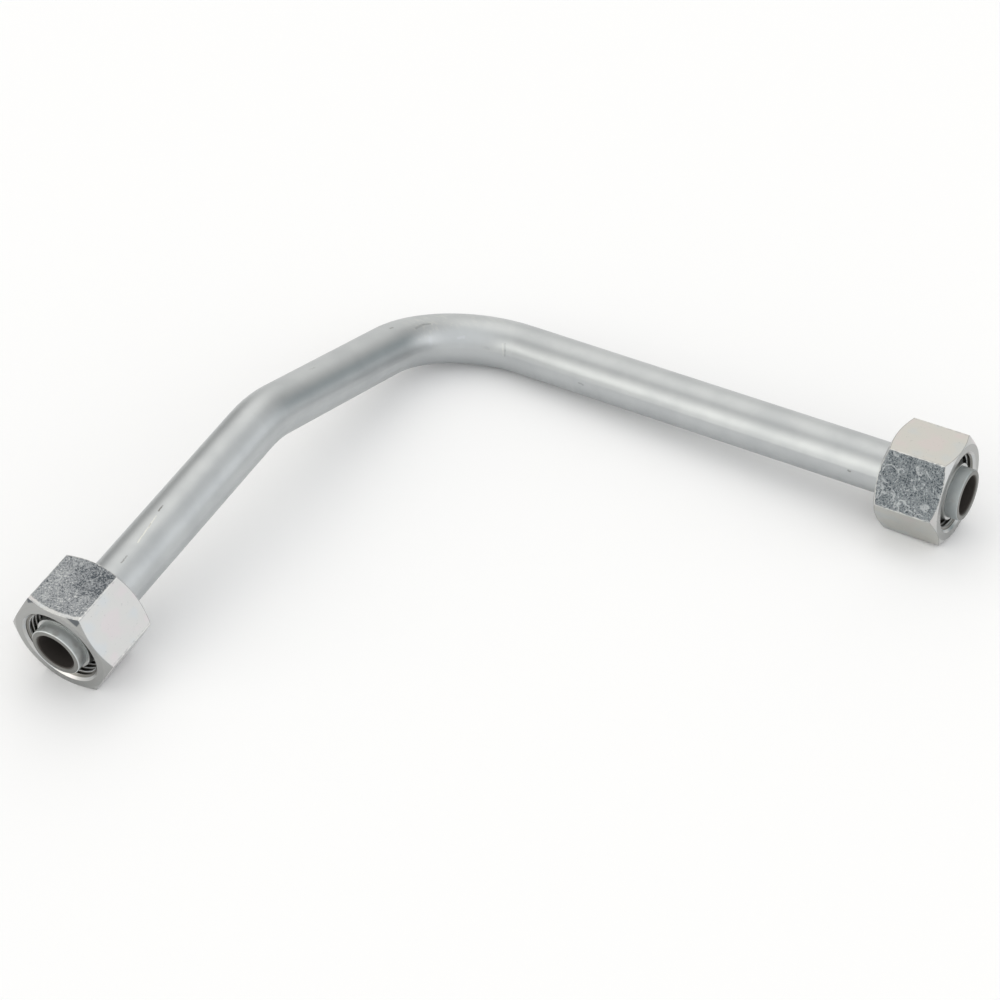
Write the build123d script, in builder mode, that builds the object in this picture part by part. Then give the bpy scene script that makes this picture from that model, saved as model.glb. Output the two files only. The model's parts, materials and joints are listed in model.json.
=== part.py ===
from build123d import *
import math
import os

# Rigid hydraulic line: a steel tube with two bends that lie in different planes, and a loose
# union nut and a pressed-on cutting ring at each end. All lengths are in millimetres.

# Tube
tube_diameter = 16.0
tube_wall = 2.0
short_leg = 102.0
middle_run = 99.2
long_leg = 185.4
first_turn = 22.8
second_turn = 90.0
bend_twist = 90.0
first_radius = 32.0
second_radius = 32.0
outer_deburr = 0.3
inner_deburr = 0.5

# Cutting ring, its slim nose towards the tube end; its walls are heights above the tube
ring_setback = 3.9
ring_nose_wall = 0.8
ring_cone_angle = 12.0
ring_collar_wall = 2.4
ring_collar_length = 1.4
ring_back_wall = 0.9
bite_depth = 0.25
bite_width = 0.9

# Union nut, with its plain bore at the back and its thread towards the tube end
nut_length = 20.5
nut_wall = 3.0
nut_corner_cut = 2.4
nut_chamfer_angle = 30.0
thread_room = 1.6
thread_mouth_chamfer = 0.7
shoulder_angle = 45.0
rear_land = 4.0
rear_deburr = 0.5

# Where each loose nut lies: how far it could still be drawn up to its ring, and how it is turned
short_nut_play = 3.6
short_nut_turn = -3.3
long_nut_play = 4.7
long_nut_turn = -15.4

# Clearances
ring_clearance = 0.03
bite_clearance = 0.04
nut_bore_clearance = 0.25

# Values that follow from the sizes above; the ring's places are distances from the tube end
tube_radius = tube_diameter / 2
bore_radius = tube_radius - tube_wall
shoulder_slope = math.tan(math.radians(shoulder_angle))
ring_nose = tube_radius + ring_nose_wall
ring_collar = tube_radius + ring_collar_wall
ring_back = tube_radius + ring_back_wall
cone_end = ring_setback + (ring_collar - ring_nose) / math.tan(math.radians(ring_cone_angle))
collar_end = cone_end + ring_collar_length
ring_end = collar_end + (ring_collar - ring_back) / shoulder_slope
thread_root = ring_collar + thread_room
nut_corner = (thread_root + nut_wall) * 2 / math.sqrt(3)

# Centre line, drawn with the second bend in the XY plane and the long leg along X.
# The first bend's plane is turned from the second's about the middle run, by the twist.
second_normal = Vector(0, 0, 1)
middle_direction = Vector(1, 0, 0).rotate(Axis.Z, second_turn)
middle_axis = Axis((0, 0, 0), middle_direction)
first_normal = second_normal.rotate(middle_axis, bend_twist)
short_direction = middle_direction.rotate(Axis((0, 0, 0), first_normal), first_turn)
second_corner = Vector(0, 0, 0)
long_tip = second_corner + Vector(long_leg, 0, 0)
first_corner = second_corner - middle_direction * middle_run
short_tip = first_corner - short_direction * short_leg

# A plane on each tube end: Z points out of the tube, X is square to the plane of the nearest bend
short_end = Plane(short_tip, x_dir=first_normal, z_dir=-short_direction)
long_end = Plane(long_tip, x_dir=second_normal, z_dir=(1, 0, 0))


def lengthwise(end):
    """Plane through the leg's axis: X is the distance from the axis, Y points out of the tube."""
    return Plane(end.origin, x_dir=end.x_dir, z_dir=-end.y_dir)


def leg_axis(end):
    return Axis(end.origin, end.z_dir)


# Bent tube
with BuildPart() as bent_tube:
    with BuildLine() as centre_line:
        FilletPolyline(
            short_tip, first_corner, second_corner, long_tip, radius=[first_radius, second_radius]
        )
    with BuildSketch(short_end):
        Circle(tube_radius)
        Circle(bore_radius, mode=Mode.SUBTRACT)
    sweep(path=centre_line.wires()[0])
    for end in (short_end, long_end):
        end_face = bent_tube.faces().filter_by(GeomType.PLANE).sort_by_distance(end.origin)[0]
        chamfer(end_face.outer_wire().edges(), outer_deburr)
        end_face = bent_tube.faces().filter_by(GeomType.PLANE).sort_by_distance(end.origin)[0]
        chamfer(end_face.inner_wires()[0].edges(), inner_deburr)
        with BuildSketch(lengthwise(end)):
            with Locations((tube_radius, -ring_setback + bite_clearance)):
                Rectangle(
                    2 * bite_depth, bite_width + 2 * bite_clearance, align=(Align.CENTER, Align.MAX)
                )
        revolve(axis=leg_axis(end), mode=Mode.SUBTRACT)


def cutting_ring(end):
    """Ring with a slim 24 degree cone in front, a cutting lip inside it and a shoulder behind."""
    bore = tube_radius + ring_clearance
    lip = tube_radius - bite_depth + bite_clearance
    lip_end = ring_setback + bite_width
    with BuildPart() as ring:
        with BuildSketch(lengthwise(end)):
            with BuildLine():
                Polyline(
                    (lip, -ring_setback),
                    (ring_nose, -ring_setback),
                    (ring_collar, -cone_end),
                    (ring_collar, -collar_end),
                    (ring_back, -ring_end),
                    (bore, -ring_end),
                    (bore, -lip_end),
                    (lip, -lip_end),
                    close=True,
                )
            make_face()
        revolve(axis=leg_axis(end))
    return ring


def union_nut(end, play, turn):
    """Hexagon nut, open to its thread in front, with a shoulder inside that draws up the ring."""
    face = nut_corner - nut_corner_cut
    chamfer_depth = nut_corner_cut * math.tan(math.radians(nut_chamfer_angle))
    mouth = thread_root + thread_mouth_chamfer
    rear_bore = tube_radius + nut_bore_clearance
    shoulder_depth = nut_length - rear_land
    root_end = shoulder_depth - (thread_root - rear_bore) / shoulder_slope
    seat_depth = shoulder_depth - (ring_collar - rear_bore) / shoulder_slope
    face_plane = end.offset(seat_depth - collar_end - play)
    with BuildPart() as nut:
        with BuildSketch(face_plane):
            RegularPolygon(nut_corner, 6, rotation=turn)
        extrude(amount=-nut_length)
        with BuildSketch(lengthwise(face_plane)):
            with BuildLine():
                Polyline(
                    (0, 0),
                    (face, 0),
                    (nut_corner, -chamfer_depth),
                    (nut_corner, -nut_length + chamfer_depth),
                    (face, -nut_length),
                    (0, -nut_length),
                    close=True,
                )
            make_face()
        revolve(axis=leg_axis(end), mode=Mode.INTERSECT)
        with BuildSketch(lengthwise(face_plane)):
            with BuildLine():
                Polyline(
                    (0, 0),
                    (mouth, 0),
                    (thread_root, -thread_mouth_chamfer),
                    (thread_root, -root_end),
                    (rear_bore, -shoulder_depth),
                    (rear_bore, -nut_length + rear_deburr),
                    (rear_bore + rear_deburr, -nut_length),
                    (0, -nut_length),
                    close=True,
                )
            make_face()
        revolve(axis=leg_axis(end), mode=Mode.SUBTRACT)
    return nut


# Rings and nuts
short_leg_ring = cutting_ring(short_end)
long_leg_ring = cutting_ring(long_end)
short_leg_nut = union_nut(short_end, short_nut_play, short_nut_turn)
long_leg_nut = union_nut(long_end, long_nut_play, long_nut_turn)


# Lying at rest, the line touches the floor with both nuts and with the underside of its elbow
elbow_samples = 200
settling_rounds = 5


def nut_foot(nut, up):
    """Lowest corner of a nut."""
    return min((Vector(*corner) for corner in nut.part.vertices()), key=lambda point: point.dot(up))


def elbow_foot(up):
    """Lowest point of the tube's underside along the second bend."""
    bend = centre_line.edges().sort_by_distance(second_corner)[0]
    feet = []
    for sample in range(elbow_samples + 1):
        middle = bend.position_at(sample / elbow_samples)
        along = bend.tangent_at(sample / elbow_samples)
        square_up = (up - along * up.dot(along)).normalized()
        feet.append(middle - square_up * tube_radius)
    return min(feet, key=lambda point: point.dot(up))


up = Vector(0, 0, 1)
for _ in range(settling_rounds):
    middle_foot = elbow_foot(up)
    short_foot = nut_foot(short_leg_nut, up)
    long_foot = nut_foot(long_leg_nut, up)
    up = (short_foot - middle_foot).cross(long_foot - middle_foot).normalized()

level_long_leg = Vector(1, 0, 0) - up * up.X
floor = Plane(middle_foot, x_dir=level_long_leg, z_dir=up)
onto_floor = floor.location.inverse()

pieces = {
    "bent_tube": bent_tube,
    "short_leg_ring": short_leg_ring,
    "long_leg_ring": long_leg_ring,
    "short_leg_nut": short_leg_nut,
    "long_leg_nut": long_leg_nut,
}
for piece in pieces.values():
    piece.part.move(onto_floor)

# The origin is on the floor, under the middle of the whole line
box = Compound([piece.part for piece in pieces.values()]).bounding_box()
to_origin = Location((-box.center().X, -box.center().Y, -box.min.Z))

os.makedirs("parts", exist_ok=True)
for name, piece in pieces.items():
    piece.part.move(to_origin)
    piece.part.label = name
    export_step(piece.part, f"parts/{name}.step")

for name, end in (("short end", short_end), ("long end", long_end)):
    placed = to_origin * onto_floor * end.location
    print(name, "at", placed.position, "pointing", Plane(placed).z_dir)
for name, corner in (("first corner", first_corner), ("second corner", second_corner)):
    print(name, "at", (to_origin * onto_floor * Location(corner)).position)
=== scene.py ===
import json
import math

import bmesh
import bpy
from mathutils import Matrix, Vector


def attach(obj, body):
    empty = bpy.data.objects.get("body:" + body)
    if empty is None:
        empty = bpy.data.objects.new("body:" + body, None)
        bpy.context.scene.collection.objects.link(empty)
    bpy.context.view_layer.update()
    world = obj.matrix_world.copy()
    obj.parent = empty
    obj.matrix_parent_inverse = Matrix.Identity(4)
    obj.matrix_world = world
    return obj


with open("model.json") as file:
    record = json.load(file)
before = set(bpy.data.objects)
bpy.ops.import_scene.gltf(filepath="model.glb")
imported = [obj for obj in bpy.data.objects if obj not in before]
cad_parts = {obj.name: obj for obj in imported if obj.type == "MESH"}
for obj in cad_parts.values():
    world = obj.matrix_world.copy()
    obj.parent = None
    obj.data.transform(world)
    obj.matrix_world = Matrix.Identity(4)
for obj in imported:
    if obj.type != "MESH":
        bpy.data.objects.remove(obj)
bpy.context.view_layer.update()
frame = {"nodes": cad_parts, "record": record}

MM = 0.001
nodes = frame["nodes"]
mounts = {mount["name"]: mount for mount in frame["record"]["mounts"]}

# The same sizes as in the part's source, in millimetres; those across the nut are distances from its axis
NUT_LENGTH = 20.5
NUT_FLAT = 15.0
NUT_CORNER = 17.32
NUT_FACE = 14.92
CHAMFER_SLOPE = 0.577
THREAD_ROOT = 12.0
THREAD_CREST = 11.19
THREAD_PITCH = 1.5
THREAD_MOUTH = 12.7
THREAD_DEPTH = 12.3
BORE_RADIUS = 6.0
BORE_DEBURR = 0.5
MOUNT_DEPTH = 2.0
SHORT_LEG = 102.0
LONG_LEG = 185.4
NUT_TURN = {"short_leg": -3.3, "long_leg": -15.4}


def leg_end(leg):
    """(place of the tube's end, direction out of the tube) in the row frame, in metres."""
    mount = mounts[leg + "_tube_end"]
    out = Vector(mount["axis"]).normalized()
    return Vector(mount["pos_m"]) + out * MOUNT_DEPTH * MM, out


short_tip, short_out = leg_end("short_leg")
long_tip, long_out = leg_end("long_leg")
first_corner = short_tip - short_out * SHORT_LEG * MM
second_corner = long_tip - long_out * LONG_LEG * MM
middle_direction = (second_corner - first_corner).normalized()

# Each tube end is turned like its plane in the part's source, by the normal of the nearest bend
BEND_NORMAL = {
    "short_leg": short_out.cross(middle_direction).normalized(),
    "long_leg": long_out.cross(middle_direction).normalized(),
}


def end_frame(leg, tip, out):
    """Frame on a tube's end: Z out of the tube, X square to the plane of the nearest bend."""
    normal = BEND_NORMAL[leg]
    place = Matrix((normal, out.cross(normal), out)).transposed().to_4x4()
    place.translation = tip
    return place


def nut_frame(leg):
    """Frame on the middle of a nut's front face: Z out of the tube, X towards one of its corners."""
    mount = mounts[leg + "_nut_thread"]
    out = Vector(mount["axis"]).normalized()
    side = out.cross(BEND_NORMAL[leg])
    turn = math.radians(NUT_TURN[leg])
    corner = BEND_NORMAL[leg] * math.cos(turn) + side * math.sin(turn)
    place = Matrix((corner, out.cross(corner), out)).transposed().to_4x4()
    place.translation = Vector(mount["pos_m"])
    return place


# Camera, at the photograph's angle; its place is in millimetres and its angles are in degrees
FOCAL_PIXELS = 2698.2
IMAGE_PIXELS = 1000
SENSOR_MM = 36.0
CLIP_START = 0.01
CLIP_END = 50.0
CAMERA_PLACE = (295.90, -511.20, 524.44)
CAMERA_AZIMUTH = 30.580
CAMERA_ELEVATION = 39.801
CAMERA_ROLL = 1.376

camera_data = bpy.data.cameras.new("camera")
camera = bpy.data.objects.new("camera", camera_data)
bpy.context.scene.collection.objects.link(camera)
bpy.context.scene.camera = camera
camera_data.sensor_width = SENSOR_MM
camera_data.lens = FOCAL_PIXELS / IMAGE_PIXELS * SENSOR_MM
camera_data.clip_start = CLIP_START
camera_data.clip_end = CLIP_END
camera.location = Vector(CAMERA_PLACE) * MM
camera.rotation_euler = (
    Matrix.Rotation(math.radians(CAMERA_AZIMUTH), 3, "Z")
    @ Matrix.Rotation(math.radians(90 - CAMERA_ELEVATION), 3, "X")
    @ Matrix.Rotation(math.radians(CAMERA_ROLL), 3, "Z")
).to_euler()


class Shader:
    """Short names for the nodes of one material or world."""

    def __init__(self, tree):
        self.tree = tree
        tree.nodes.clear()

    def add(self, kind, inputs=None, **settings):
        made = self.tree.nodes.new(kind)
        for name, value in settings.items():
            setattr(made, name, value)
        for name, value in (inputs or {}).items():
            socket = made.inputs[name]
            if isinstance(value, bpy.types.NodeSocket):
                self.tree.links.new(value, socket)
            else:
                socket.default_value = value
        return made

    def finish(self, kind, surface):
        output = self.add(kind)
        self.tree.links.new(surface.outputs[0], output.inputs[0])

    def math(self, operation, a, b=0.0, clamp=False):
        return self.add("ShaderNodeMath", {0: a, 1: b}, operation=operation, use_clamp=clamp).outputs[0]

    def times(self, first, *others):
        for other in others:
            first = self.math("MULTIPLY", first, other)
        return first

    def plus(self, first, *others):
        for other in others:
            first = self.math("ADD", first, other)
        return first

    def minus(self, a, b):
        return self.math("SUBTRACT", a, b)

    def larger(self, a, b):
        return self.math("MAXIMUM", a, b)

    def smaller(self, a, b):
        return self.math("MINIMUM", a, b)

    def radius(self, x, y):
        return self.math("SQRT", self.plus(self.times(x, x), self.times(y, y)))

    def vector(self, operation, a, b):
        return self.add("ShaderNodeVectorMath", {0: a, 1: b}, operation=operation).outputs[0]

    def length(self, vector):
        return self.add("ShaderNodeVectorMath", {0: vector}, operation="LENGTH").outputs["Value"]

    def dot(self, a, b):
        return self.add("ShaderNodeVectorMath", {0: a, 1: b}, operation="DOT_PRODUCT").outputs["Value"]

    def scaled(self, vector, factor):
        return self.add("ShaderNodeVectorMath", {0: vector, "Scale": factor}, operation="SCALE").outputs[0]

    def step(self, value, low, high, out_low, out_high):
        made = self.add(
            "ShaderNodeMapRange",
            {"Value": value, "From Min": low, "From Max": high, "To Min": out_low, "To Max": out_high},
            interpolation_type="SMOOTHSTEP",
        )
        return made.outputs[0]

    def rise(self, value, low, high, top=1.0):
        """0 below low, top above high, and a smooth step between them."""
        return self.step(value, low, high, 0.0, top)

    def fall(self, value, low, high, top=1.0):
        """top below low, 0 above high, and a smooth step between them."""
        return self.step(value, low, high, top, 0.0)

    def noise(self, place, scale, detail=2.0, roughness=0.5, distortion=0.0, seed=0.0):
        made = self.add(
            "ShaderNodeTexNoise",
            {
                "Vector": place,
                "W": seed,
                "Scale": scale,
                "Detail": detail,
                "Roughness": roughness,
                "Distortion": distortion,
            },
            noise_dimensions="4D",
        )
        return made.outputs["Fac"]

    def wander(self, place, scale, detail=2.0):
        """Noise in three directions."""
        made = self.add("ShaderNodeTexNoise", {"Vector": place, "Scale": scale, "Detail": detail})
        return made.outputs["Color"]

    def mix(self, factor, a, b):
        a, b = ((*colour, 1.0) if isinstance(colour, tuple) else colour for colour in (a, b))
        return self.add("ShaderNodeMix", {0: factor, 6: a, 7: b}, data_type="RGBA").outputs[2]

    def blend(self, factor, a, b):
        return self.add("ShaderNodeMix", {0: factor, 2: a, 3: b}, data_type="FLOAT").outputs[0]

    def position(self):
        return self.add("ShaderNodeTexCoord").outputs["Object"]

    def local(self, place):
        """Position in that frame, in millimetres."""
        made = self.add(
            "ShaderNodeMapping",
            {
                "Vector": self.position(),
                "Location": place.translation,
                "Rotation": place.to_euler(),
                "Scale": (MM, MM, MM),
            },
            vector_type="TEXTURE",
        )
        return made.outputs[0]

    def split(self, vector):
        made = self.add("ShaderNodeSeparateXYZ", {0: vector})
        return made.outputs[0], made.outputs[1], made.outputs[2]


def new_material(name):
    material = bpy.data.materials.new(name)
    material.use_nodes = True
    return material, Shader(material.node_tree)


def finish_metal(shader, colour, roughness, height):
    """Metal with that relief, whose height is in millimetres."""
    bump = shader.add("ShaderNodeBump", {"Height": height, "Distance": MM, "Strength": 1.0})
    surface = shader.add(
        "ShaderNodeBsdfPrincipled",
        {"Base Color": colour, "Roughness": roughness, "Normal": bump.outputs[0], "Metallic": 1.0},
    )
    shader.finish("ShaderNodeOutputMaterial", surface)


# Tube
ZINC = (0.505, 0.522, 0.528)
ZINC_DULL = (0.460, 0.477, 0.486)
SHORT_STUB_PAINTED_LIGHT = (0.65, 0.68, 0.68)
LONG_STUB_GREY = (0.42, 0.45, 0.455)
STUB_BROWN = (0.36, 0.34, 0.32)
RIM_GREY = (0.26, 0.26, 0.25)
RIM_DARK = (0.19, 0.19, 0.18)
BORE_PAINTED_SHADE = (0.105, 0.095, 0.088)

SCUFF_DARK = (0.13, 0.125, 0.11)
SCUFF_GREY = (0.27, 0.28, 0.285)
SCUFF_LIGHT = (0.68, 0.68, 0.63)
SCUFF_LILAC = (0.62, 0.63, 0.68)

# Depths along the tube from its end, and distances from its axis, in millimetres
BORE_SHADE_START = -40.0
BORE_SHADE_FULL = -38.0
STUB_START = -7.0
STUB_FULL = -5.5
OUTSIDE_INNER = 9.0
OUTSIDE_OUTER = 10.0
DEBURR_RADIUS = BORE_RADIUS + BORE_DEBURR

# Fine streaks along the drawn tube: cycles per millimetre across it and along it
STREAK_SCALES = (1.6, 1.6, 0.03)

# Light speckle on the top of the elbow, in metres of the row frame
ELBOW_TOP = tuple(second_corner + Vector((14.0, -6.0, 8.0)) * MM)
SPECKLE_SCALES = (380.0, 900.0, 900.0)
SPECKLE_STRENGTH = 0.26
SPECKLE_NEAR, SPECKLE_FAR = 12 * MM, 30 * MM
SPECKLE_LOW, SPECKLE_HIGH = 15 * MM, 18 * MM

tube_material, tube = new_material("tube_zinc_satin")
short_place = tube.local(end_frame("short_leg", short_tip, short_out))
long_place = tube.local(end_frame("long_leg", long_tip, long_out))
object_place = tube.position()
object_x, object_y, object_z = tube.split(object_place)


def end_zones(place):
    """Masks at one end of the tube: its bore, the bare stub, the end face and the bore's deburred edge."""
    x, y, z = tube.split(place)
    radius = tube.radius(x, y)
    near = tube.times(tube.rise(z, BORE_SHADE_START, BORE_SHADE_FULL), tube.fall(z, 2.0, 3.0))
    bore = tube.times(near, tube.fall(radius, BORE_RADIUS + 0.15, BORE_RADIUS + 0.35))
    outside = tube.fall(radius, OUTSIDE_INNER, OUTSIDE_OUTER)
    stub = tube.times(tube.rise(z, STUB_START, STUB_FULL), outside)
    face = tube.times(tube.rise(z, -0.12, -0.06), outside)
    deburr = tube.times(
        tube.rise(z, -BORE_DEBURR - 0.06, -BORE_DEBURR),
        tube.fall(radius, DEBURR_RADIUS, DEBURR_RADIUS + 0.06),
        near,
    )
    return bore, stub, face, deburr


short_zones = end_zones(short_place)
long_zones = end_zones(long_place)
bore, stub, face, deburr = (tube.larger(short, long) for short, long in zip(short_zones, long_zones))
short_stub, long_stub = short_zones[1], long_zones[1]

fine = tube.noise(object_place, 900.0, 3.0, 0.6)
cloud = tube.noise(object_place, 90.0, 3.0, 0.55)
broad = tube.noise(object_place, 18.0, 2.0, 0.5)
short_streak, long_streak = (
    tube.noise(tube.vector("MULTIPLY", place, STREAK_SCALES), 1.0, 3.0, 0.6)
    for place in (short_place, long_place)
)
streak = tube.blend(tube.rise(object_x, -70 * MM, -40 * MM), short_streak, long_streak)
colour = tube.mix(tube.rise(cloud, 0.35, 0.7), ZINC, ZINC_DULL)

elbow_gap = tube.length(tube.vector("SUBTRACT", object_place, ELBOW_TOP))
speckle = tube.noise(tube.vector("MULTIPLY", object_place, SPECKLE_SCALES), 1.0, 2.0, 0.6)
speckle = tube.times(
    tube.rise(speckle, 0.52, 0.62),
    tube.fall(elbow_gap, SPECKLE_NEAR, SPECKLE_FAR, SPECKLE_STRENGTH),
    tube.rise(object_z, SPECKLE_LOW, SPECKLE_HIGH),
)
colour = tube.mix(speckle, colour, SCUFF_LIGHT)

# Scuffs and scratches, and a wrinkle drawn as a painted highlight beside a painted shade line: (one end,
# other end, half width, colour, strength), in millimetres of the row frame
MARKS = (
    ((-82.6, -77.7, 26.9), (-82.7, -74.8, 27.2), 0.22, SCUFF_DARK, 0.50),
    ((-83.0, -69.4, 28.3), (-84.2, -59.0, 30.2), 0.22, SCUFF_LIGHT, 0.75),
    ((-83.6, -64.4, 29.3), (-83.9, -62.0, 29.7), 0.16, SCUFF_DARK, 0.45),
    ((-84.8, -57.2, 30.4), (-85.0, -55.0, 30.8), 0.24, SCUFF_DARK, 0.75),
    ((-86.0, -3.0, 36.8), (-87.0, 2.5, 35.6), 0.35, SCUFF_GREY, 0.55),
    ((-86.8, 12.6, 33.3), (-86.0, 16.6, 32.5), 0.30, SCUFF_GREY, 0.65),
    ((-84.9, 18.2, 32.3), (-84.4, 20.6, 31.8), 0.34, SCUFF_DARK, 0.50),
    ((-83.9, 61.0, 22.1), (-83.6, 62.2, 21.8), 0.32, SCUFF_DARK, 0.50),
    ((-79.2, 68.8, 19.3), (-78.7, 72.0, 18.8), 0.40, SCUFF_GREY, 0.40),
    ((-78.7, 72.0, 18.8), (-77.4, 74.3, 18.3), 0.30, SCUFF_GREY, 0.55),
    ((-75.0, 70.5, 16.0), (-74.3, 69.9, 14.4), 0.70, SCUFF_LILAC, 0.20),
    ((-69.1, 77.8, 13.9), (-67.7, 79.2, 14.0), 0.45, SCUFF_LILAC, 0.30),
    ((-62.0, 81.5, 11.2), (-60.0, 81.7, 10.9), 0.50, SCUFF_GREY, 0.16),
    # A wrinkle: the grey lines are its painted shade, the light lines beside them its painted highlight
    ((-55.4, 84.1, 13.2), (-54.8, 83.1, 11.6), 0.24, SCUFF_GREY, 0.40),
    ((-54.8, 83.1, 11.6), (-54.4, 82.5, 9.8), 0.24, SCUFF_GREY, 0.36),
    ((-56.1, 83.8, 13.0), (-55.5, 83.0, 11.5), 0.24, SCUFF_LIGHT, 0.36),
    ((-55.5, 83.0, 11.5), (-55.0, 82.5, 9.8), 0.24, SCUFF_LIGHT, 0.24),
    ((-27.3, 82.5, 10.3), (-25.6, 82.5, 10.1), 0.26, SCUFF_GREY, 0.60),
    ((65.8, 82.6, 15.8), (66.6, 82.6, 15.7), 0.30, SCUFF_DARK, 0.55),
)
RAGGED_SCALE = 1100.0
RAGGED_REACH = 0.6
MARK_CORE = 0.4
MARK_FADED = 1.5

# The ragged noise moves each mark by half its reach on average, and the ends make up for it
ragged = tube.vector("MULTIPLY", tube.wander(object_place, RAGGED_SCALE), (RAGGED_REACH * MM,) * 3)
mark_place = tube.vector("ADD", object_place, ragged)
drift = Vector((RAGGED_REACH / 2,) * 3)
dents = 0.0
for start, end, half_width, shade, strength in MARKS:
    start = (Vector(start) + drift) * MM
    along = (Vector(end) + drift) * MM - start
    away = tube.vector("SUBTRACT", mark_place, tuple(start))
    reach = tube.math("MULTIPLY", tube.dot(away, tuple(along)), 1 / along.length_squared, clamp=True)
    gap = tube.length(tube.vector("SUBTRACT", away, tube.scaled(tuple(along), reach)))
    mark = tube.fall(gap, half_width * MARK_CORE * MM, half_width * MARK_FADED * MM, strength)
    colour = tube.mix(mark, colour, shade)
    dents = tube.larger(dents, mark)

# The two bare stubs are the same tube in two greys: the short one is painted lighter against the shade
# inside its nut
stub_cloud = tube.rise(tube.noise(object_place, 260.0, 2.0, 0.5), 0.52, 0.68, 0.45)
for bare, grey in ((short_stub, SHORT_STUB_PAINTED_LIGHT), (long_stub, LONG_STUB_GREY)):
    colour = tube.mix(bare, colour, tube.mix(stub_cloud, grey, STUB_BROWN))
colour = tube.mix(face, colour, RIM_GREY)
colour = tube.mix(deburr, colour, RIM_DARK)
# Painted shade inside the bore of each end, dark down to its depth
colour = tube.mix(bore, colour, BORE_PAINTED_SHADE)

roughness = tube.plus(0.36, tube.times(cloud, 0.08), tube.times(stub, 0.14), tube.times(bore, 0.25))
height = tube.plus(tube.times(fine, 0.004), tube.times(streak, 0.006), tube.times(broad, 0.10))
height = tube.minus(height, tube.times(dents, 0.04))
finish_metal(tube, colour, roughness, height)

# Cutting rings
RING_DULL = (0.46, 0.47, 0.46)
RING_BRIGHT = (0.58, 0.59, 0.58)

ring_material, ring = new_material("ring_zinc_turned")
ring_place = ring.position()
ring_cloud = ring.noise(ring_place, 220.0, 3.0, 0.6)
ring_fine = ring.noise(ring_place, 1200.0, 2.0, 0.6)
ring_colour = ring.mix(ring_cloud, RING_DULL, RING_BRIGHT)
ring_roughness = ring.plus(0.28, ring.times(ring_cloud, 0.15))
finish_metal(ring, ring_colour, ring_roughness, ring.times(ring_fine, 0.004))


# Nuts: turned ends, smooth drawn flats, and one coarse mottled flat on each
NUT_ZINC = (0.565, 0.565, 0.555)
NUT_PINK = (0.585, 0.555, 0.560)
NUT_BLUE = (0.545, 0.565, 0.575)
MOTTLE_DARK = (0.080, 0.092, 0.105)
MOTTLE_GREY = (0.30, 0.315, 0.33)
MOTTLE_LIGHT = (0.62, 0.63, 0.63)
ARC_LIGHT = (0.52, 0.54, 0.55)
END_GREY = (0.378, 0.382, 0.374)
EDGE_PAINTED_HIGHLIGHT = (0.78, 0.78, 0.76)
CHAMFER_DARK = (0.13, 0.14, 0.15)
THREAD_PAINTED_SHADE = (0.22, 0.215, 0.20)

# Light curved marks on the coarse flat: a seed, then radius and half width in millimetres.
# They lie round scattered centres, so many to a millimetre, and wander by up to so many millimetres.
ARCS = ((11.0, 2.7, 0.20), (17.0, 1.8, 0.16), (23.0, 3.6, 0.18), (31.0, 2.2, 0.14))
ARC_SCALE = 0.17
ARC_WANDER = 1.6

# Flats are numbered round the nut from the corner that its frame's X points to
COARSE_FLAT = 1
BACK_CORNER_DARKER = 0.09
BANDED_LIGHTER = 0.024
BAND_CLEARED = 0.85
LATHE_SCALE = 7.0


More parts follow.
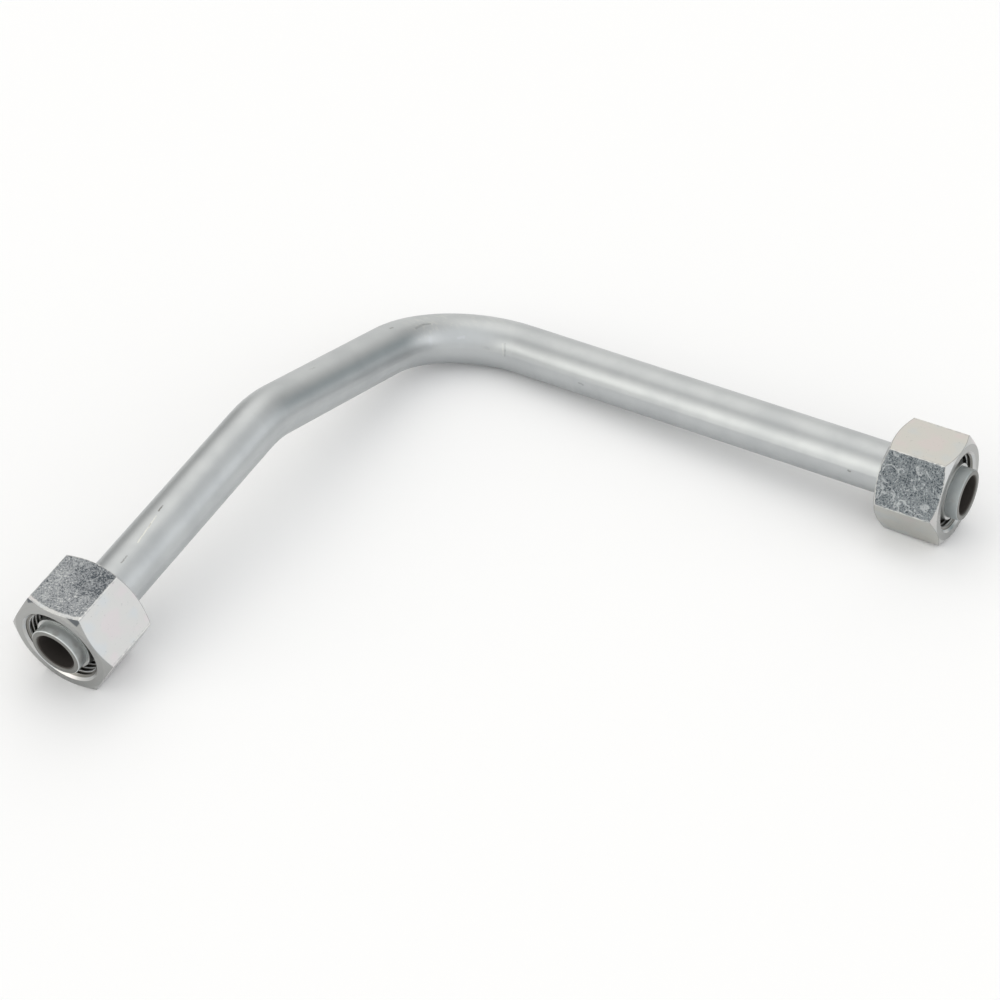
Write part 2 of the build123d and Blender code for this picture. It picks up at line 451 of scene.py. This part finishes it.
def nut_material(leg, coarse_shade, arc_strength, banded, painted_flat_shading):
    """
    Bright zinc of one nut. coarse_shade multiplies the coarse flat's colours, and the last argument those
    of other flats, by number, as painted light and shade. With banded at 1 and not 0, the mottle leaves a
    smooth band in front and grows darker towards a corner behind, and the chamfer in front is grey with
    painted dark reflections on two corners.
    """
    material, nut = new_material(leg + "_nut_zinc_bright")
    place = nut.local(nut_frame(leg))
    x, y, z = nut.split(place)
    radius = nut.radius(x, y)
    wobble = nut.noise(place, 0.8, 3.0, 0.6, seed=3.0)

    def towards(degrees):
        angle = math.radians(degrees)
        return nut.plus(nut.times(x, math.cos(angle)), nut.times(y, math.sin(angle)))

    def on_flat(flat):
        return nut.rise(towards(60 * flat + 30), NUT_FLAT - 0.06, NUT_FLAT - 0.02)

    # Distances from the chamfers and from the nearest corner, and a painted highlight along those edges,
    # broken up by noise
    cone_depth = nut.times(nut.minus(radius, NUT_FACE), CHAMFER_SLOPE)
    front_gap = nut.minus(nut.times(z, -1.0), cone_depth)
    back_gap = nut.minus(nut.plus(z, NUT_LENGTH), cone_depth)
    end_gap = nut.smaller(front_gap, back_gap)
    corner_reach = towards(0)
    for corner in range(1, 6):
        corner_reach = nut.larger(corner_reach, towards(60 * corner))
    corner_gap = nut.times(nut.minus(NUT_CORNER, corner_reach), 2.0)
    outer = nut.rise(radius, NUT_FACE - 0.1, NUT_FACE + 0.02)
    cone = nut.times(outer, nut.fall(front_gap, 0.02, 0.07))
    coarse = nut.times(on_flat(COARSE_FLAT), nut.minus(1.0, cone))
    rim_gap = nut.plus(end_gap, nut.times(nut.minus(1.0, coarse), 5.0))
    nick = nut.plus(nut.smaller(rim_gap, corner_gap), nut.times(nut.minus(wobble, 0.5), 0.9))
    edge = nut.times(outer, nut.fall(nick, 0.02, 0.28), nut.minus(1.0, cone))
    beside = nut.times(nut.rise(nick, 0.24, 0.38), nut.fall(nick, 0.46, 0.66), nut.rise(wobble, 0.46, 0.56))

    # Mottle of the coarse flat
    grain = nut.noise(place, 2.2, 4.0, 0.62, 0.5, seed=7.0)
    blotch = nut.noise(place, 0.42, 3.0, 0.55, 0.3, seed=1.0)
    level = nut.plus(nut.times(grain, 0.80), nut.times(blotch, 0.20))
    # The mottle grows darker towards a corner behind, on the banded nut only
    back_corner = nut.times(nut.rise(towards(60), 9.0, 16.5), nut.fall(z, -17.0, -5.0))
    level = nut.minus(level, nut.times(back_corner, BACK_CORNER_DARKER * banded))
    level = nut.plus(level, BANDED_LIGHTER * banded)
    mottle = nut.mix(nut.rise(level, 0.40, 0.51), MOTTLE_DARK, MOTTLE_GREY)
    mottle = nut.mix(nut.rise(level, 0.54, 0.66), mottle, MOTTLE_LIGHT)
    mottle = nut.vector("MULTIPLY", mottle, coarse_shade)
    arc_drift = nut.vector("MULTIPLY", nut.wander(place, 0.5, 1.0), (ARC_WANDER,) * 3)
    bent_place = nut.vector("ADD", place, arc_drift)
    arcs = 0.0
    for seed, arc_radius, half_width in ARCS:
        centres = nut.add(
            "ShaderNodeTexVoronoi",
            {"Vector": bent_place, "W": seed, "Scale": ARC_SCALE},
            voronoi_dimensions="4D",
        )
        off = nut.math("ABSOLUTE", nut.minus(centres.outputs["Distance"], ARC_SCALE * arc_radius))
        line = nut.fall(off, ARC_SCALE * half_width * 0.5, ARC_SCALE * half_width * 1.3)
        broken = nut.rise(nut.noise(place, 0.35, 2.0, 0.6, seed=seed + 2.0), 0.48, 0.56)
        arcs = nut.larger(arcs, nut.times(line, broken))
    mottle = nut.mix(nut.times(arcs, arc_strength), mottle, ARC_LIGHT)
    band = nut.fall(nut.plus(front_gap, nut.times(wobble, 1.2)), 1.7, 2.1)
    coarse = nut.times(coarse, nut.minus(1.0, nut.times(banded, band, BAND_CLEARED)))

    # Smooth flats
    tint = nut.noise(place, 0.13, 2.0, 0.5, seed=5.0)
    smooth = nut.mix(nut.rise(tint, 0.52, 0.66), NUT_ZINC, NUT_PINK)
    smooth = nut.mix(nut.fall(tint, 0.34, 0.48), smooth, NUT_BLUE)
    speck = nut.rise(nut.noise(place, 1.3, 3.0, 0.65, seed=9.0), 0.64, 0.69, 0.45)
    smooth = nut.mix(speck, smooth, MOTTLE_GREY)
    # Painted light and shade: chosen flats are darkened and tinted as light falls on them
    for flat, shade in painted_flat_shading:
        smooth = nut.mix(on_flat(flat), smooth, nut.vector("MULTIPLY", smooth, shade))
    colour = nut.mix(coarse, smooth, mottle)

    # Turned ends, painted dark reflections on two corners of the chamfer, thin dark lines at the chamfers'
    # edges, and a painted highlight along the edges with a grey band beside it
    turned_end = nut.larger(nut.rise(z, -0.07, -0.03), nut.fall(z, 0.03 - NUT_LENGTH, 0.07 - NUT_LENGTH))
    turned_end = nut.times(turned_end, nut.rise(radius, THREAD_MOUTH - 0.04, THREAD_MOUTH + 0.06))
    turned_end = nut.larger(turned_end, nut.times(cone, banded))
    colour = nut.mix(turned_end, colour, END_GREY)
    # Painted dark reflection on two corners of the front chamfer, on the banded nut only
    first_dark_corner = nut.times(nut.rise(towards(60), 15.5, 15.9), nut.rise(towards(150), -0.9, -0.5))
    second_dark_corner = nut.times(nut.rise(towards(120), 16.0, 16.3), nut.rise(towards(30), -0.5, -0.2))
    dark_corners = nut.times(nut.larger(first_dark_corner, second_dark_corner), nut.rise(z, -2.0, -1.8))
    colour = nut.mix(nut.times(cone, dark_corners, banded), colour, CHAMFER_DARK)
    outline = nut.fall(nut.math("ABSOLUTE", nut.minus(end_gap, 0.12)), 0.04, 0.12, 0.6)
    colour = nut.mix(nut.times(outline, outer), colour, CHAMFER_DARK)
    # A grey band beside the edges, then the painted highlight along the rounded edges and corners
    colour = nut.mix(nut.times(beside, 0.55), colour, MOTTLE_GREY)
    colour = nut.mix(nut.times(edge, 0.62), colour, EDGE_PAINTED_HIGHLIGHT)

    # Painted shade on the flanks of the thread inside the nut, which leaves the crests lighter
    mouth = nut.times(nut.fall(z, -0.75, -0.66), nut.fall(radius, THREAD_ROOT + 0.2, THREAD_ROOT + 0.3))
    flank_shade = nut.times(mouth, nut.rise(radius, THREAD_CREST + 0.05, THREAD_CREST + 0.31))
    colour = nut.mix(flank_shade, colour, THREAD_PAINTED_SHADE)

    # Relief, with lathe marks on the end faces
    turned = nut.add(
        "ShaderNodeCombineXYZ", {0: nut.times(radius, LATHE_SCALE), 1: nut.times(z, LATHE_SCALE)}
    ).outputs[0]
    lathe = nut.noise(turned, 1.0, 2.0, 0.6, seed=13.0)
    fine = nut.noise(place, 9.0, 2.0, 0.5)
    end_face = nut.fall(front_gap, 0.0, 0.4)
    coarse_height = nut.times(nut.plus(nut.times(level, 0.24), nut.times(arcs, 0.03)), coarse)
    height = nut.plus(coarse_height, nut.times(fine, 0.002), nut.times(lathe, end_face, 0.004))
    height = nut.minus(height, nut.times(edge, 0.03))
    worn = nut.noise(place, 0.7, 3.0, 0.6, seed=15.0)
    roughness = nut.plus(0.27, nut.times(worn, 0.10), nut.times(coarse, 0.06))
    finish_metal(nut, colour, roughness, height)
    return material


short_nut = nut_material(
    "short_leg", coarse_shade=(0.99, 0.99, 0.99), arc_strength=0.35, banded=1.0, painted_flat_shading=()
)
long_nut = nut_material(
    "long_leg",
    coarse_shade=(0.64, 0.67, 0.68),
    arc_strength=0.46,
    banded=0.0,
    # Painted shading: the top flat warmer and a little darker, the lower flat darker as in shade
    painted_flat_shading=((0, (0.96, 0.94, 0.90)), (2, (0.92, 0.92, 0.89))),
)

MATERIALS = {
    "bent_tube": tube_material,
    "short_leg_ring": ring_material,
    "long_leg_ring": ring_material,
    "short_leg_nut": short_nut,
    "long_leg_nut": long_nut,
}
for name, material in MATERIALS.items():
    for slot in nodes[name].material_slots:
        slot.material = material


# Thread turns inside each nut: the ridge's profile is (radius, place along the axis), in millimetres
STEPS_PER_TURN = 72
RUN_OUT = 1.0
EMBED = 0.06
HALF_BASE = 0.66
HALF_CREST = 0.19
ROOT_EASE = 0.05
WELD_DISTANCE = 1e-7
THREAD_BACK = THREAD_ROOT + EMBED
THREAD_MIDDLE = (THREAD_ROOT + THREAD_CREST) / 2
HALF_MIDDLE = (HALF_BASE + HALF_CREST) / 2
PROFILE = (
    (THREAD_BACK, -HALF_BASE),
    (THREAD_ROOT, -HALF_BASE + ROOT_EASE),
    (THREAD_MIDDLE, -HALF_MIDDLE),
    (THREAD_CREST, -HALF_CREST),
    (THREAD_CREST, HALF_CREST),
    (THREAD_MIDDLE, HALF_MIDDLE),
    (THREAD_ROOT, HALF_BASE - ROOT_EASE),
    (THREAD_BACK, HALF_BASE),
)


def thread(leg, material):
    """A right-hand ridge that winds into the nut, cut off by the cone of its mouth."""
    mesh = bmesh.new()
    turns = (THREAD_DEPTH + HALF_BASE) / THREAD_PITCH
    steps = int(turns * STEPS_PER_TURN)
    rows = []
    for step in range(steps + 1):
        angle = 2 * math.pi * step / STEPS_PER_TURN
        middle = -HALF_BASE + THREAD_PITCH * step / STEPS_PER_TURN
        sink = max(0.0, 1 - (turns - step / STEPS_PER_TURN) / RUN_OUT)
        row = []
        for radius, along in PROFILE:
            depth = middle + along
            radius = radius + (THREAD_BACK - radius) * sink
            radius = max(radius, min(THREAD_BACK, THREAD_MOUTH - depth))
            depth = max(depth, THREAD_MOUTH - THREAD_BACK)
            point = Vector((math.cos(angle) * radius, -math.sin(angle) * radius, -depth))
            row.append(mesh.verts.new(point * MM))
        rows.append(row)
    for before, after in zip(rows, rows[1:]):
        for k in range(len(PROFILE)):
            following = (k + 1) % len(PROFILE)
            mesh.faces.new((before[k], after[k], after[following], before[following]))
    mesh.faces.new(rows[0])
    mesh.faces.new(list(reversed(rows[-1])))
    bmesh.ops.remove_doubles(mesh, verts=mesh.verts, dist=WELD_DISTANCE)
    bmesh.ops.recalc_face_normals(mesh, faces=mesh.faces)
    data = bpy.data.meshes.new(leg + "_nut_thread_turns")
    mesh.to_mesh(data)
    mesh.free()
    data.transform(nut_frame(leg))
    data.materials.append(material)
    piece = bpy.data.objects.new(leg + "_nut_thread_turns", data)
    bpy.context.scene.collection.objects.link(piece)
    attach(piece, leg + "_nut")


thread("short_leg", short_nut)
thread("long_leg", long_nut)


# Floor: a little of its own light, for rays that see it, brings it to the backdrop's white
FLOOR_HALF = 3.0
FLOOR_PALE = (0.92, 0.92, 0.925, 1)
FLOOR_GLOW = 0.022

floor_corners = [(x * FLOOR_HALF, y * FLOOR_HALF, 0) for x, y in ((-1, -1), (1, -1), (1, 1), (-1, 1))]
floor_mesh = bpy.data.meshes.new("floor")
floor_mesh.from_pydata(floor_corners, [], [(0, 1, 2, 3)])
floor = bpy.data.objects.new("floor", floor_mesh)
bpy.context.scene.collection.objects.link(floor)
floor_material, ground = new_material("floor_pale")
ground_shade = ground.add("ShaderNodeBsdfDiffuse", {"Color": FLOOR_PALE})
paths = ground.add("ShaderNodeLightPath").outputs
seen = ground.plus(paths["Is Camera Ray"], paths["Is Glossy Ray"])
seen = ground.math("ADD", seen, paths["Is Transmission Ray"], clamp=True)
ground_glow = ground.add("ShaderNodeEmission", {"Strength": ground.times(seen, FLOOR_GLOW)})
ground_sum = ground.add("ShaderNodeAddShader", {0: ground_shade.outputs[0], 1: ground_glow.outputs[0]})
ground.finish("ShaderNodeOutputMaterial", ground_sum)
floor_mesh.materials.append(floor_material)

# The studio round the object: soft bright panels and two dark gaps in a grey room.
# Each is (azimuth, elevation, spread, strength, tint), with its angles in degrees.
ROOM = (0.555, 0.552, 0.542)
PANELS = (
    (-28, 42, 72, 0.58, (0.98, 1.0, 1.02)),
    (22, 10, 33, 0.62, (0.99, 1.0, 1.02)),
    (-115, 2, 40, 1.20, (1.04, 1.02, 0.96)),
    (-121, 32, 29, 0.78, (1.04, 1.02, 0.96)),
    (138, 62, 40, 0.86, (1.03, 1.01, 0.97)),
    (115, 8, 42, 0.49, (1.02, 1.01, 0.97)),
    (59, 9, 26, -0.28, (1.25, 1.0, 0.9)),
    (153, 12, 30, -0.12, (1.0, 1.0, 1.0)),
)

world = bpy.data.worlds.new("studio")
bpy.context.scene.world = world
world.use_nodes = True
sky = Shader(world.node_tree)
looking = sky.add("ShaderNodeTexCoord").outputs["Generated"]
light = ROOM
for azimuth, elevation, spread, strength, tint in PANELS:
    across, upward = math.radians(azimuth), math.radians(elevation)
    towards = (math.cos(across) * math.cos(upward), math.sin(across) * math.cos(upward), math.sin(upward))
    lobe = sky.rise(sky.dot(looking, towards), math.cos(math.radians(spread)), 1.0, strength)
    light = sky.vector("ADD", light, sky.scaled(tint, lobe))
background = sky.add("ShaderNodeBackground", {"Color": light, "Strength": 1.0})
sky.finish("ShaderNodeOutputWorld", background)

bpy.context.scene.view_settings.view_transform = "Standard"
